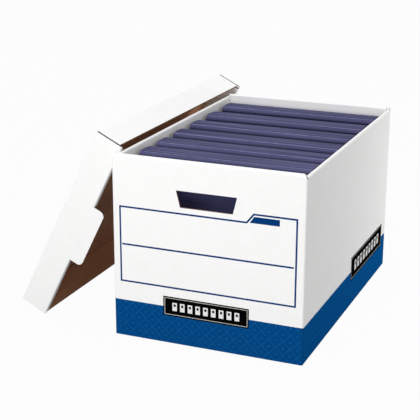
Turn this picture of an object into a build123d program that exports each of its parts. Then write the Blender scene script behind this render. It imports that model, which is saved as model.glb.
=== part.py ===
from build123d import *
from math import acos, atan2, cos, degrees, hypot, radians, sin, tan
import os

os.makedirs("parts", exist_ok=True)

# A corrugated storage carton with its lid off and leaning on its left side, and six ring
# binders standing in it, spines up. X is to the right, Y is to the back, Z is up. The origin
# is the middle of the carton's underside. All sizes are in millimetres.

# Corrugated board
board = 3.1
ply_gap = 0.3
crease_radius = 3.0
rim_radius = 2.0

# Binders, and the room around them in the carton
binder_count = 6
binder_thickness = 45.5
binder_length = 300.0
binder_height = 294.0
binder_end_room = 8.5
binder_front_room = 61.0
binder_first_gap = 20.3
binder_gap_growth = 4.0
binder_back_room = 15.7
binder_head_room = 11.2
rest_gap = 0.3

# Carton
corner_tab_length = 90.0
corner_notch_width = 2.5
corner_notch_depth = 7.0
roll_setback = 1.0
flap_meeting_gap = 0.5
flap_corner_cut = 4.0

# Hand hole in each end wall
hand_hole_top_width = 104.0
hand_hole_bottom_width = 90.0
hand_hole_height = 28.0
hand_hole_below_rim = 48.5
hand_hole_corner = 1.0
hand_hole_step = 6.0

# Lid
lid_depth = 51.0
lid_side_slack = 9.0
lid_end_slack = 2.0
lid_front_setback = 28.0
lid_rim_corner = 1.0
lid_lower_flap_step = 1.4
lid_upper_flap_step = 6.0
lid_rest_room = 3.8
lid_corner_slit = 1.2
lid_corner_tab_length = 78.0
lock_tab_width = 111.0
lock_tab_reach = 22.5
lock_tab_corner = 9.0

# Binder cover
cover_board = 2.8
weld_thickness = 1.1
hinge_radius = 3.8
spine_crown = 1.0
cover_corner = 4.0
wrap_radius = 0.8

# Ring metal of one binder. The wire is drawn with six sides, to keep its many bends light.
metal_gap = 0.3
ring_wire_radius = 1.9
ring_wire_sides = 6
ring_spacing = 108.0
ring_front_room = 3.0
ring_spine_room = 15.0
ring_spine_reach = 22.0
ring_slant_depth = 12.0
ring_bend = 9.0
ring_tip_height = 3.0
ring_tip_gap = 0.3
rail_width = 10.0
rail_thickness = 1.2
rail_root = 8.5
rail_rest_angle = 7.0
rail_above_cover = 3.6
rail_rivet_room = 3.5
plate_end_room = 5.0
plate_rise = 8.0
plate_thickness = 1.0
plate_bevel = 1.2
plate_lip = 1.2
plate_notch_width = 6.0
plate_notch_inner = 5.5
rivet_inset = 6.5
rivet_radius = 2.0
rivet_clearance = 0.1
rivet_head_radius = 4.5
rivet_head_height = 1.2

# Sizes that follow: the carton is made to hold its binders
side_wall = 2 * board + ply_gap
end_wall = 3 * board + 2 * ply_gap
roll_radius = side_wall / 2
floor_top = 2 * board + ply_gap
binder_foot = floor_top + rest_gap


def binder_place(number):
    """Depth of a binder's front face behind the first one's: the gaps grow towards the back."""
    gaps = number * binder_first_gap + binder_gap_growth * number * (number - 1) / 2
    return number * binder_thickness + gaps


carton_width = binder_length + 2 * binder_end_room + 2 * side_wall
binder_row = binder_place(binder_count - 1) + binder_thickness
carton_length = binder_front_room + binder_row + binder_back_room + 2 * end_wall
carton_height = binder_foot + binder_height + spine_crown + binder_head_room
half_width = carton_width / 2
half_length = carton_length / 2
inner_ply_foot = floor_top + ply_gap
inner_half_width = half_width - side_wall
side_height = carton_height - board - ply_gap
inner_half_length = half_length - end_wall


def add_corner_waste(x, y, radius, right, up):
    """Add to the open sketch what a rounded corner cuts off; right and up point into the shape."""
    with Locations((x + right * radius / 2, y + up * radius / 2)):
        Rectangle(radius, radius)
    with Locations((x + right * radius, y + up * radius)):
        Circle(radius, mode=Mode.SUBTRACT)


def hand_hole_corners(grow):
    """Corners of the hand hole, which is wider at its top, grown on every side."""
    top = carton_height - hand_hole_below_rim + grow
    foot = top - hand_hole_height - 2 * grow
    top_end = hand_hole_top_width / 2 + grow
    foot_end = hand_hole_bottom_width / 2 + grow
    return [(-top_end, top), (top_end, top), (foot_end, foot), (-foot_end, foot)]


# Carton front wall: the printed outer ply, folded over the rim and down again inside. The inner
# ply is cut back round the hand hole, so that from outside only one ply's edge shows.
with BuildPart() as carton_front_wall:
    with BuildSketch(Plane.XZ.offset(half_length)):
        with Locations((0, carton_height / 2)):
            Rectangle(carton_width, carton_height)
    extrude(amount=-board)
    with BuildSketch(Plane.YZ):
        with Locations((-half_length, carton_height)):
            Rectangle(end_wall, board, align=(Align.MIN, Align.MAX))
        with Locations((-half_length + end_wall, carton_height)):
            Rectangle(board, carton_height - inner_ply_foot, align=(Align.MAX, Align.MAX))
    extrude(amount=inner_half_width - ply_gap, both=True)
    fold_edges = carton_front_wall.edges().filter_by(Axis.X).group_by(Axis.Z)[-1]
    fillet(fold_edges.group_by(Axis.Y)[0], crease_radius)
    fillet(carton_front_wall.edges().filter_by(Axis.X).group_by(Axis.Z)[-1].group_by(Axis.Y)[-1], rim_radius)
    fillet(carton_front_wall.edges().filter_by(Axis.Z).group_by(Axis.Y)[0], crease_radius)
    with BuildSketch(Plane.XZ.offset(half_length)):
        with BuildLine():
            notch_foot = (half_width, carton_height - corner_notch_depth)
            Polyline((half_width - corner_notch_width, carton_height), (half_width, carton_height),
                     notch_foot, close=True)
        make_face()
        mirror(about=Plane.YZ)
    extrude(amount=-board, mode=Mode.SUBTRACT)
    with BuildSketch(Plane.XZ.offset(half_length)) as hand_hole:
        with BuildLine():
            Polyline(*hand_hole_corners(0), close=True)
        make_face()
        fillet(hand_hole.vertices(), hand_hole_corner)
    extrude(amount=-board, mode=Mode.SUBTRACT)
    with BuildSketch(Plane.XZ.offset(half_length - board)) as inner_hole:
        with BuildLine():
            Polyline(*hand_hole_corners(hand_hole_step), close=True)
        make_face()
        fillet(inner_hole.vertices(), hand_hole_corner)
    extrude(amount=board - end_wall, mode=Mode.SUBTRACT)
carton_front_wall.part.label = "carton_front_wall"
export_step(carton_front_wall.part, "parts/carton_front_wall.step")

with BuildPart() as carton_back_wall:
    mirror(carton_front_wall.part, about=Plane.XZ)
carton_back_wall.part.label = "carton_back_wall"
export_step(carton_back_wall.part, "parts/carton_back_wall.step")


# Carton side wall: outer ply, half-round roll at the rim, inner ply, and a tab at each end
# that is folded into the end wall. Its rim is as high as the tabs, which lie under the end
# wall's fold.
tab_face = half_length - board - ply_gap
with BuildPart() as carton_left_wall:
    with BuildSketch(Plane.XZ):
        with Locations((-half_width, 0)):
            Rectangle(board, side_height - roll_radius, align=(Align.MIN, Align.MIN))
    extrude(amount=half_length - board, both=True)
    with BuildSketch(Plane.XZ):
        with Locations((-half_width + roll_radius, side_height - roll_radius)):
            Circle(roll_radius)
    extrude(amount=half_length - board - roll_setback, both=True)
    with BuildSketch(Plane.XZ):
        with Locations((-inner_half_width, inner_ply_foot)):
            Rectangle(board, side_height - roll_radius - inner_ply_foot, align=(Align.MAX, Align.MIN))
    extrude(amount=tab_face - board - ply_gap, both=True)
    with BuildSketch(Plane.XY.offset(inner_ply_foot)):
        with Locations((-half_width + board, -tab_face)):
            Rectangle(corner_tab_length, board, align=(Align.MIN, Align.MIN))
        mirror(about=Plane.XZ)
    extrude(amount=side_height - inner_ply_foot)
    with BuildSketch(Plane.YZ.offset(-half_width)):
        with BuildLine():
            notch_end = half_length - board
            Polyline((notch_end - corner_notch_width, side_height), (notch_end, side_height),
                     (notch_end, side_height - corner_notch_depth), close=True)
        make_face()
        mirror(about=Plane.XZ)
    extrude(amount=board, mode=Mode.SUBTRACT)
carton_left_wall.part.label = "carton_left_wall"
export_step(carton_left_wall.part, "parts/carton_left_wall.step")

with BuildPart() as carton_right_wall:
    mirror(carton_left_wall.part, about=Plane.YZ)
carton_right_wall.part.label = "carton_right_wall"
export_step(carton_right_wall.part, "parts/carton_right_wall.step")


# Double bottom: the long flaps lie outside, the end flaps lie on them, and both pairs meet
with BuildPart() as bottom_flap_left:
    with BuildSketch(Plane.XY) as outer_flap:
        with Locations((-half_width + board, 0)):
            Rectangle(half_width - board - flap_meeting_gap / 2, 2 * (half_length - board),
                      align=(Align.MIN, Align.CENTER))
        chamfer(outer_flap.vertices().group_by(Axis.X)[0], flap_corner_cut)
    extrude(amount=board)
bottom_flap_left.part.label = "bottom_flap_left"
export_step(bottom_flap_left.part, "parts/bottom_flap_left.step")

with BuildPart() as bottom_flap_right:
    mirror(bottom_flap_left.part, about=Plane.YZ)
bottom_flap_right.part.label = "bottom_flap_right"
export_step(bottom_flap_right.part, "parts/bottom_flap_right.step")

with BuildPart() as bottom_flap_front:
    with BuildSketch(Plane.XY.offset(board + ply_gap)) as inner_flap:
        with Locations((0, -half_length + board)):
            Rectangle(2 * (half_width - board), half_length - board - flap_meeting_gap / 2,
                      align=(Align.CENTER, Align.MIN))
        chamfer(inner_flap.vertices().group_by(Axis.Y)[0], flap_corner_cut)
    extrude(amount=board)
bottom_flap_front.part.label = "bottom_flap_front"
export_step(bottom_flap_front.part, "parts/bottom_flap_front.step")

with BuildPart() as bottom_flap_back:
    mirror(bottom_flap_front.part, about=Plane.XZ)
bottom_flap_back.part.label = "bottom_flap_back"
export_step(bottom_flap_back.part, "parts/bottom_flap_back.step")


# The lid leans: the lower corners of its end flaps stand on the floor, and the rim of its front
# end flap rests on the roll along the left wall, just below the upper long flap.
lid_width = carton_width + 2 * (board + lid_side_slack)
lid_length = carton_length + 2 * (end_wall + lid_end_slack)
contact = roll_radius + rest_gap
roll_x = -half_width + roll_radius
roll_z = side_height - roll_radius
reach = lid_width - board - contact - lid_rest_room
lid_lean = acos(roll_z / hypot(reach, contact)) - atan2(contact, reach)
lid_across = Vector(sin(lid_lean), 0, cos(lid_lean))
foot_z = lid_rim_corner * (1 - sin(lid_lean) - cos(lid_lean))
foot_x = roll_x - (contact + (roll_z - foot_z) * sin(lid_lean)) / cos(lid_lean)
lid_corner_x = foot_x - lid_depth * cos(lid_lean)
lid_corner_z = foot_z + lid_depth * sin(lid_lean)
lower_flap_depth = lid_depth - lid_lower_flap_step
upper_flap_depth = lid_depth - lid_upper_flap_step
long_flap_room = board + ply_gap
lid_front = -half_length + lid_front_setback
lid_back = lid_front + lid_length
lid_middle = (lid_front + lid_back) / 2


def lid_section(y):
    """The lid's own cross-section plane at a place along its length: across it, and up."""
    return Plane(origin=(lid_corner_x, y, lid_corner_z), x_dir=lid_across, z_dir=(0, -1, 0))


# Lid top panel with its two long flaps, of which the upper one is less deep than the end flaps,
# and on each long flap a tab folded in at both ends
with BuildPart() as lid_top:
    with BuildSketch(lid_section(lid_front + board + lid_corner_slit)) as channel:
        Rectangle(lid_width, lower_flap_depth, align=(Align.MIN, Align.MAX))
        fillet(channel.vertices().group_by(Axis.Y)[-1], crease_radius)
        with Locations((board, -board)):
            Rectangle(lid_width - 2 * board, lower_flap_depth - board, align=(Align.MIN, Align.MAX),
                      mode=Mode.SUBTRACT)
        with Locations((lid_width, -upper_flap_depth)):
            Rectangle(board, lower_flap_depth - upper_flap_depth, align=(Align.MAX, Align.MAX),
                      mode=Mode.SUBTRACT)
    extrude(amount=-(lid_length - 2 * board - 2 * lid_corner_slit))
    with BuildSketch(lid_section(lid_front + board)):
        with Locations((crease_radius, 0)):
            Rectangle(lid_width - 2 * crease_radius, board, align=(Align.MIN, Align.MAX))
    extrude(amount=-(lid_length - 2 * board))
    with BuildSketch(lid_section(lid_front + board + ply_gap)):
        with Locations((board, -board - ply_gap)):
            Rectangle(lid_corner_tab_length, lid_depth - 2 * (board + ply_gap), align=(Align.MIN, Align.MAX))
        with Locations((lid_width - board, -board - ply_gap)):
            Rectangle(lid_corner_tab_length, upper_flap_depth - board - ply_gap,
                      align=(Align.MAX, Align.MAX))
    front_tabs = extrude(amount=-board)
    mirror(front_tabs, about=Plane(origin=(0, lid_middle, 0), z_dir=(0, 1, 0)))
lid_top.part.label = "lid_top"
export_step(lid_top.part, "parts/lid_top.step")


# Lid end flap: outer ply, fold at the rim, inner ply back up, and the locking tab that was
# cut out of the inner ply and tucks into the carton's hand hole
flap_side = Plane(origin=(lid_corner_x, lid_front, lid_corner_z), x_dir=(0, 1, 0), z_dir=lid_across)
with BuildPart() as lid_front_flap:
    with BuildSketch(flap_side) as flap_profile:
        Rectangle(end_wall, lid_depth, align=(Align.MIN, Align.MAX))
        fillet(flap_profile.vertices().group_by(Axis.Y)[0], rim_radius)
        fillet(flap_profile.vertices().group_by(Axis.Y)[-1].group_by(Axis.X)[0], crease_radius)
        with Locations((board, 0)):
            Rectangle(end_wall - 2 * board, lid_depth - board, align=(Align.MIN, Align.MAX),
                      mode=Mode.SUBTRACT)
        with Locations((board, 0)):
            Rectangle(end_wall, board + ply_gap, align=(Align.MIN, Align.MAX), mode=Mode.SUBTRACT)
    extrude(amount=lid_width)
    with BuildSketch(lid_section(lid_front + board)):
        with Locations((0, 0), (lid_width - long_flap_room, 0)):
            Rectangle(long_flap_room, lid_depth, align=(Align.MIN, Align.MAX))
        with Locations((lid_width / 2, -lid_depth)):
            Rectangle(lock_tab_width, lock_tab_reach, align=(Align.CENTER, Align.MIN))
    extrude(amount=-end_wall, mode=Mode.SUBTRACT)
    with BuildSketch(lid_section(lid_front)):
        add_corner_waste(0, -lid_depth, lid_rim_corner, 1, 1)
        add_corner_waste(lid_width, -lid_depth, lid_rim_corner, -1, 1)
        add_corner_waste(0, 0, crease_radius, 1, -1)
        add_corner_waste(lid_width, 0, crease_radius, -1, -1)
    extrude(amount=-board, mode=Mode.SUBTRACT)
    with BuildSketch(lid_section(lid_front)) as lock_tab:
        with Locations((lid_width / 2, -lid_depth - lock_tab_reach)):
            Rectangle(lock_tab_width, lock_tab_reach + rim_radius, align=(Align.CENTER, Align.MIN))
        fillet(lock_tab.vertices().group_by(Axis.Y)[0], lock_tab_corner)
    extrude(amount=-board)
lid_front_flap.part.label = "lid_front_flap"
export_step(lid_front_flap.part, "parts/lid_front_flap.step")

with BuildPart() as lid_back_flap:
    mirror(lid_front_flap.part, about=Plane(origin=(0, lid_middle, 0), z_dir=(0, 1, 0)))
lid_back_flap.part.label = "lid_back_flap"
export_step(lid_back_flap.part, "parts/lid_back_flap.step")


# Places shared by the pieces of every binder, measured from its front face and its foot. The
# D rings reach as far forward from the rails as the front cover allows.
binder_left = -binder_length / 2
back_cover_inside = binder_thickness - cover_board
pivot_depth = back_cover_inside - rail_above_cover
rail_slope = radians(rail_rest_angle)
ring_root = rail_root * tan(rail_slope)
ring_reach = pivot_depth - cover_board - ring_front_room - ring_wire_radius
mechanism_height = binder_height - ring_spine_room - ring_spine_reach - ring_wire_radius
plate_inside = rail_width + metal_gap
plate_half_width = plate_inside + plate_thickness
plate_length = binder_length - 2 * plate_end_room
rail_length = plate_length - 2 * (rivet_inset + rivet_radius + rail_rivet_room)
rivet_places = [plate_length / 2 - rivet_inset, -plate_length / 2 + rivet_inset]
ring_places = [-ring_spacing, 0, ring_spacing]


def binder_front(number):
    """Y of a binder's front face."""
    return -inner_half_length + binder_front_room + binder_place(number)


def binder_section(front, x):
    """A plane across a binder at x: sketch X is depth from its front face, sketch Y is height."""
    return Plane(origin=(x, front, binder_foot), x_dir=(0, 1, 0), z_dir=(1, 0, 0))


def mechanism_section(front):
    """The same plane with its origin at the height of the ring mechanism, in the middle of it."""
    ring_z = binder_foot + mechanism_height
    return Plane(origin=(0, front, ring_z), x_dir=(0, 1, 0), z_dir=(1, 0, 0))


def build_cover(front):
    """Front board, spine board and back board in one vinyl skin, joined by thin welded hinges."""
    cover_top = binder_height - hinge_radius
    with BuildPart() as cover:
        with BuildSketch(binder_section(front, binder_left)) as profile:
            with Locations((0, 0)):
                Rectangle(cover_board, cover_top, align=(Align.MIN, Align.MIN))
            with Locations((binder_thickness, 0)):
                Rectangle(cover_board, cover_top, align=(Align.MAX, Align.MIN))
            with BuildLine():
                spine_left = (hinge_radius, binder_height)
                spine_right = (binder_thickness - hinge_radius, binder_height)
                lower_left = (hinge_radius, binder_height - cover_board)
                lower_right = (binder_thickness - hinge_radius, binder_height - cover_board)
                middle = binder_thickness / 2
                ThreePointArc(spine_left, (middle, binder_height + spine_crown), spine_right)
                Line(spine_right, lower_right)
                ThreePointArc(lower_right, (middle, binder_height + spine_crown - cover_board), lower_left)
                Line(lower_left, spine_left)
            make_face()
            fillet(profile.vertices().group_by(Axis.Y)[0], wrap_radius)
            fillet(profile.vertices().group_by(Axis.Y)[-1], wrap_radius)
            weld_outer = hinge_radius - (cover_board - weld_thickness) / 2
            weld_inner = weld_outer - weld_thickness
            with Locations((hinge_radius, cover_top), (binder_thickness - hinge_radius, cover_top)):
                Circle(weld_outer)
                Circle(weld_inner, mode=Mode.SUBTRACT)
            with Locations((binder_thickness / 2, cover_top)):
                Rectangle(binder_thickness - 2 * hinge_radius, 2 * hinge_radius - 2 * cover_board,
                          mode=Mode.SUBTRACT)
            with Locations((cover_board, cover_top)):
                Rectangle(binder_thickness - 2 * cover_board, hinge_radius, align=(Align.MIN, Align.MAX),
                          mode=Mode.SUBTRACT)
        extrude(amount=binder_length)
        with BuildSketch(Plane.XZ.offset(-front)):
            add_corner_waste(binder_left, binder_foot, cover_corner, 1, 1)
            add_corner_waste(binder_left + binder_length, binder_foot, cover_corner, -1, 1)
        extrude(amount=-binder_thickness, mode=Mode.SUBTRACT)
    return cover.part


def build_plate(front):
    """The raised plate that the rails' outer edges run in, with turned-in lips and notches."""
    foot = back_cover_inside - metal_gap
    with BuildPart() as plate:
        with BuildSketch(mechanism_section(front)) as channel:
            with Locations((foot, 0)):
                Rectangle(plate_rise, 2 * plate_half_width, align=(Align.MAX, Align.CENTER))
            chamfer(channel.vertices().group_by(Axis.X)[0], plate_bevel)
            with Locations((foot - plate_thickness, 0)):
                Rectangle(plate_rise - 2 * plate_thickness, 2 * plate_inside,
                          align=(Align.MAX, Align.CENTER), mode=Mode.SUBTRACT)
            with Locations((foot, 0)):
                Rectangle(plate_thickness, 2 * (plate_inside - plate_lip),
                          align=(Align.MAX, Align.CENTER), mode=Mode.SUBTRACT)
        extrude(amount=plate_length / 2, both=True)
        with BuildSketch(Plane.XZ.offset(-front - back_cover_inside)):
            for side in (-1, 1):
                edge_height = binder_foot + mechanism_height + side * plate_half_width
                with Locations(*[(x, edge_height) for x in ring_places]):
                    Rectangle(plate_notch_width, 2 * (plate_half_width - plate_notch_inner))
            with Locations(*[(x, binder_foot + mechanism_height) for x in rivet_places]):
                Circle(rivet_radius + rivet_clearance)
        extrude(amount=plate_rise + plate_thickness, mode=Mode.SUBTRACT)
    return plate.part


def build_rings(front, side):
    """One rail with its three half D rings; side is 1 next the spine and -1 on the page side.

    On the page side the wire is a straight post with its top bent over, which holds the punched
    pages square. On the spine side it slants out, rises and comes back to meet the post's tip.
    """
    if side > 0:
        bends = [(-ring_root, rail_root), (-ring_root - ring_slant_depth, ring_spine_reach),
                 (-ring_reach, ring_spine_reach), (-ring_reach, ring_tip_height + ring_tip_gap)]
    else:
        bends = [(-ring_root, -rail_root), (-ring_reach, -rail_root), (-ring_reach, ring_tip_height)]
    with BuildPart() as rings:
        with BuildSketch(mechanism_section(front + pivot_depth)):
            with Locations(Location((0, 0, 0), (0, 0, side * (90 + rail_rest_angle)))):
                with Locations((metal_gap / 2, 0)):
                    Rectangle(rail_width - metal_gap / 2, rail_thickness, align=(Align.MIN, Align.CENTER))
        extrude(amount=rail_length / 2, both=True)
        for x in ring_places:
            with BuildLine(mechanism_section(front + pivot_depth).offset(x)) as wire:
                FilletPolyline(*bends, radius=ring_bend)
            with BuildSketch(Plane(origin=wire.line @ 0, z_dir=wire.line % 0)):
                RegularPolygon(ring_wire_radius, ring_wire_sides)
            sweep(path=wire.line)
    return rings.part


def build_rivets(front):
    """Two rivets through the plate, set in the back board under its vinyl, so no head shows outside."""
    ring_z = binder_foot + mechanism_height
    head_foot = metal_gap + plate_rise + rivet_clearance
    with BuildPart() as rivets:
        for x in rivet_places:
            place = (x, front + back_cover_inside, ring_z)
            with BuildSketch(Plane(origin=place, z_dir=(0, 0, 1))):
                with BuildLine():
                    Polyline((0, 0), (rivet_radius, 0), (rivet_radius, -head_foot),
                             (rivet_head_radius, -head_foot),
                             (rivet_head_radius, -head_foot - rivet_head_height),
                             (0, -head_foot - rivet_head_height), close=True)
                make_face()
            revolve(axis=Axis(place, (0, 1, 0)))
    return rivets.part


for index in range(binder_count):
    front_y = binder_front(index)
    pieces = {
        "cover": build_cover(front_y),
        "ring_plate": build_plate(front_y),
        "upper_rings": build_rings(front_y, 1),
        "lower_rings": build_rings(front_y, -1),
        "rivets": build_rivets(front_y),
    }
    for piece, solid in pieces.items():
        solid.label = f"binder_{index + 1}_{piece}"
        export_step(solid, f"parts/{solid.label}.step")

print("carton", round(carton_width, 2), "x", round(carton_length, 2), "x", round(carton_height, 2))
print("lid lean", round(degrees(lid_lean), 2), "deg, foot at x", round(foot_x, 2), "width", lid_width)
print("lid from y", round(lid_front, 1), "to", round(lid_back, 1))
print("binder fronts", [round(binder_front(n), 1) for n in range(binder_count)])
print("ring pivot", round(pivot_depth, 2), "behind a binder's front,",
      round(mechanism_height + binder_foot, 2), "up")
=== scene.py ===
# %% [markdown]
# # A storage carton for six ring binders
#
# The carton and its lid are corrugated board: a fluted kraft paper between two flat papers, of
# which the outer one has a white coating that takes print. Six ring binders stand in the carton
# with their spines up. The solids come from the CAD part, which also says what moves with what.
# This script gives every surface its finish, adds what is too fine for the solids, and lights
# the object as in a small photo studio.

import math

import bmesh
import bpy
from mathutils import Euler, Matrix, Vector


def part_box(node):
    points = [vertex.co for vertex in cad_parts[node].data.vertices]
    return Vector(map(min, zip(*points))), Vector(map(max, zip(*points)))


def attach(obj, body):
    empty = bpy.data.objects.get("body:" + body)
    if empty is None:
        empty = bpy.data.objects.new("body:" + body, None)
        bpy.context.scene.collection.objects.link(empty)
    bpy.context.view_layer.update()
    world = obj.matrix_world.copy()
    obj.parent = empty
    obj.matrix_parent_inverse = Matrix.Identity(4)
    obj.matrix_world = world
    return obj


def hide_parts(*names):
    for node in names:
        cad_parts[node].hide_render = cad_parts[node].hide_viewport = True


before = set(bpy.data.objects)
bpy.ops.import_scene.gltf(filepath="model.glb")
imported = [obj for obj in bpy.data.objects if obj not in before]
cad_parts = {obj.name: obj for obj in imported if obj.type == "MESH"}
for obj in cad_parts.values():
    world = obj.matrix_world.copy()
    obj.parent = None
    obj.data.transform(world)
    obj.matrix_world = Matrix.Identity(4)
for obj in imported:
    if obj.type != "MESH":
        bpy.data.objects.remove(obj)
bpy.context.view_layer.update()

# %% [markdown]
# ## Sizes
#
# Patterns and printed lines are given in millimetres, as on a packaging drawing, and the shaders
# work in millimetres too. The carton's size is read from its solids, so the print stays on the
# wall it belongs to. Whatever lies within a skin's depth of the carton's outline is its outside.

# %% Sizes of the board and of the carton
MM = 0.001
board = 3.1
ply_gap = 0.3
flute_pitch = 6.5
skin = 1.5
wall_low, wall_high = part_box("carton_front_wall")
carton_height = wall_high.z / MM
half_width = wall_high.x / MM
half_length = -wall_low.y / MM
binder_numbers = range(1, 7)
print("carton", [round(v, 1) for v in (2 * half_width, 2 * half_length, carton_height)], "mm")

# %% [markdown]
# ## Nodes and colours
#
# A material is a small graph. One function adds a node, sets it and plugs in whatever feeds it.
# Colours are written as they look on a screen, in hex, and one function turns them into the
# linear values that light is added up in.


# %% Helpers for materials
def linear(code):
    """A colour written in hex, as linear red, green, blue and alpha."""
    channels = [int(code[i:i + 2], 16) / 255 for i in (1, 3, 5)]
    return tuple(c / 12.92 if c <= 0.04045 else ((c + 0.055) / 1.055) ** 2.4 for c in channels) + (1.0,)


def add_node(tree, kind, inputs=None, **settings):
    """Adds a node. Settings are its properties, and inputs fill its sockets.

    An input is a value, a socket to link from, or a node, which links from its first output in use."""
    node = tree.nodes.new("ShaderNode" + kind)
    for name, value in settings.items():
        setattr(node, name, value)
    for socket, value in (inputs or {}).items():
        if isinstance(value, bpy.types.Node):
            value = next(output for output in value.outputs if output.enabled)
        if isinstance(value, bpy.types.NodeSocket):
            tree.links.new(value, node.inputs[socket])
        else:
            node.inputs[socket].default_value = value
    return node


def start_material(name, **constants):
    """A material with one Principled shader, its constants set on the shader's own sockets."""
    material = bpy.data.materials.new(name)
    material.use_nodes = True
    tree = material.node_tree
    tree.nodes.clear()
    surface = add_node(tree, "BsdfPrincipled", constants)
    add_node(tree, "OutputMaterial", {"Surface": surface})
    return material, tree, surface


def finish_node(node_name, material):
    """Puts a material in every slot of a solid."""
    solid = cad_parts[node_name]
    if not solid.material_slots:
        solid.data.materials.append(material)
    for slot in solid.material_slots:
        slot.material = material


print("white #F4F4F2 in linear light", [round(v, 3) for v in linear("#F4F4F2")[:3]])

# %% [markdown]
# ## Corrugated board
#
# What the eye reads as corrugated board is a set of small things. The paper over the flutes sinks
# a few hundredths of a millimetre between them, the washboard effect, so light breaks into faint
# stripes 6.5 mm apart. The white coating is smooth with a soft sheen, and slightly cloudy where
# the brown paper under it shows through. On the unprinted side the kraft paper is brown, flecked
# with fibres, and striped where the flutes are glued. A cut edge shows the wave of the flutes
# between two thin papers, drawn a little thicker than they are so that they show. Each of these
# is a small function here, so that a wall, a flap and the lid can share them.


# %% Where a point is, in millimetres
def object_place(tree):
    """Object coordinates in millimetres, and the way the surface faces."""
    source = add_node(tree, "TexCoord")
    place = add_node(tree, "VectorMath", {0: source.outputs["Object"], "Scale": 1 / MM},
                     operation="SCALE")
    return place.outputs[0], source.outputs["Normal"]


def far_from(tree, value, middle):
    """How far a value is from a middle, on either side of it."""
    offset = add_node(tree, "Math", {0: value, 1: middle}, operation="SUBTRACT")
    return add_node(tree, "Math", {0: offset}, operation="ABSOLUTE")


def flute_wave(tree, along):
    """The wave of the flutes, from -1 to 1, along a direction given in millimetres."""
    turns = add_node(tree, "Math", {0: along, 1: 2 * math.pi / flute_pitch}, operation="MULTIPLY")
    return add_node(tree, "Math", {0: turns}, operation="SINE")


print("flutes", flute_pitch, "mm apart in", board, "mm board")


# %% Colours of the board's two sides
white_tones = ("#EDEDEC", "#F8F8F8")
kraft_tones = ("#BD8766", "#D09A77")
kraft_fleck = "#9C6A4E"
kraft_glued = "#6E4631"


def white_liner(tree, place, along):
    """Colour of the coated side: nearly white, a little cloudy, and faintly darker between flutes, a
    painted shade of the washboard.
    """
    cloud = add_node(tree, "TexNoise", {"Vector": place, "Scale": 0.035, "Detail": 4.0, "Roughness": 0.6})
    fibre = add_node(tree, "TexNoise", {"Vector": place, "Scale": 1.1, "Detail": 3.0, "Roughness": 0.7})
    shade = 0.0
    # The flute wave's small share is painted shade: it darkens the white between flutes, on top of the
    # washboard's bumps.
    for detail, weight in ((cloud, 0.5), (fibre, 0.3), (flute_wave(tree, along), 0.04)):
        shade = add_node(tree, "Math", {0: detail, 1: weight, 2: shade}, operation="MULTIPLY_ADD")
    return add_node(tree, "Mix", {0: shade, 6: linear(white_tones[0]), 7: linear(white_tones[1])},
                    data_type="RGBA")


def kraft_liner(tree, place, along):
    """Colour of the brown side: kraft paper with long fibres, flecks and the flutes' glue lines."""
    stretched = add_node(tree, "Mapping", {"Vector": place, "Scale": (1.0, 0.25, 0.6)})
    fibre = add_node(tree, "TexNoise", {"Vector": stretched, "Scale": 1.6, "Detail": 5.0,
                                        "Roughness": 0.75})
    cloud = add_node(tree, "TexNoise", {"Vector": place, "Scale": 0.02, "Detail": 3.0})
    brown = add_node(tree, "Mix", {0: cloud, 6: linear(kraft_tones[0]), 7: linear(kraft_tones[1])},
                     data_type="RGBA")
    fleck = add_node(tree, "MapRange", {"Value": fibre, "From Min": 0.35, "From Max": 0.7,
                                        "To Min": 0.0, "To Max": 0.35})
    flecked = add_node(tree, "Mix", {0: fleck, 6: brown, 7: linear(kraft_fleck)}, data_type="RGBA")
    glued = add_node(tree, "MapRange", {"Value": flute_wave(tree, along), "From Min": 0.5,
                                        "From Max": 1.0, "To Min": 0.0, "To Max": 0.12})
    return add_node(tree, "Mix", {0: glued, 6: flecked, 7: linear(kraft_glued)}, data_type="RGBA")


print("white between", *white_tones, "kraft between", *kraft_tones)

# %% Cut edge and relief of the board
liner_thickness = 0.35
medium_thickness = 0.6
medium_margin = 0.5
washboard_depth = 0.03
# The first tone is painted shade in the flutes' hollows; the second is the papers' own brown.
edge_hollow_shade_and_paper_tones = ("#4E3221", "#B08860")


def cut_edge(tree, depth, along, across_flutes=1.0):
    """Colour of a cut edge: two thin papers, and dark hollows that are painted shade.

    Where the cut crosses the flutes, their wave shows between the papers; where it runs along
    them, only the hollow does."""
    in_ply = add_node(tree, "Math", {0: depth, 1: board + ply_gap}, operation="FLOORED_MODULO")
    from_middle = add_node(tree, "Math", {0: in_ply, 1: board / 2}, operation="SUBTRACT")
    to_liner = add_node(tree, "Math", {0: from_middle}, operation="ABSOLUTE")
    liner = add_node(tree, "Math", {0: to_liner, 1: board / 2 - liner_thickness},
                     operation="GREATER_THAN")
    medium = add_node(tree, "Math", {0: flute_wave(tree, along), 1: board / 2 - medium_margin},
                      operation="MULTIPLY")
    off_wave = far_from(tree, from_middle, medium)
    on_wave = add_node(tree, "Math", {0: off_wave, 1: medium_thickness / 2}, operation="LESS_THAN")
    on_wave = add_node(tree, "Math", {0: on_wave, 1: across_flutes}, operation="MULTIPLY")
    paper = add_node(tree, "Math", {0: liner, 1: on_wave}, operation="MAXIMUM")
    return add_node(tree, "Mix", {0: paper, 6: linear(edge_hollow_shade_and_paper_tones[0]), 7: linear(edge_hollow_shade_and_paper_tones[1])},
                    data_type="RGBA")


def board_relief(tree, surface, place, along):
    """Bumps of the board: paper fibres, and the washboard of the flutes under the paper."""
    fibre = add_node(tree, "TexNoise", {"Vector": place, "Scale": 1.4, "Detail": 4.0, "Roughness": 0.7})
    height = add_node(tree, "Math", {0: flute_wave(tree, along), 1: 0.35, 2: fibre},
                      operation="MULTIPLY_ADD")
    relief = add_node(tree, "Bump", {"Height": height, "Strength": 0.6, "Distance": washboard_depth * MM})
    tree.links.new(relief.outputs[0], surface.inputs["Normal"])


print("washboard", washboard_depth, "mm deep, papers of a cut edge", liner_thickness, "mm thick")

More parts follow.
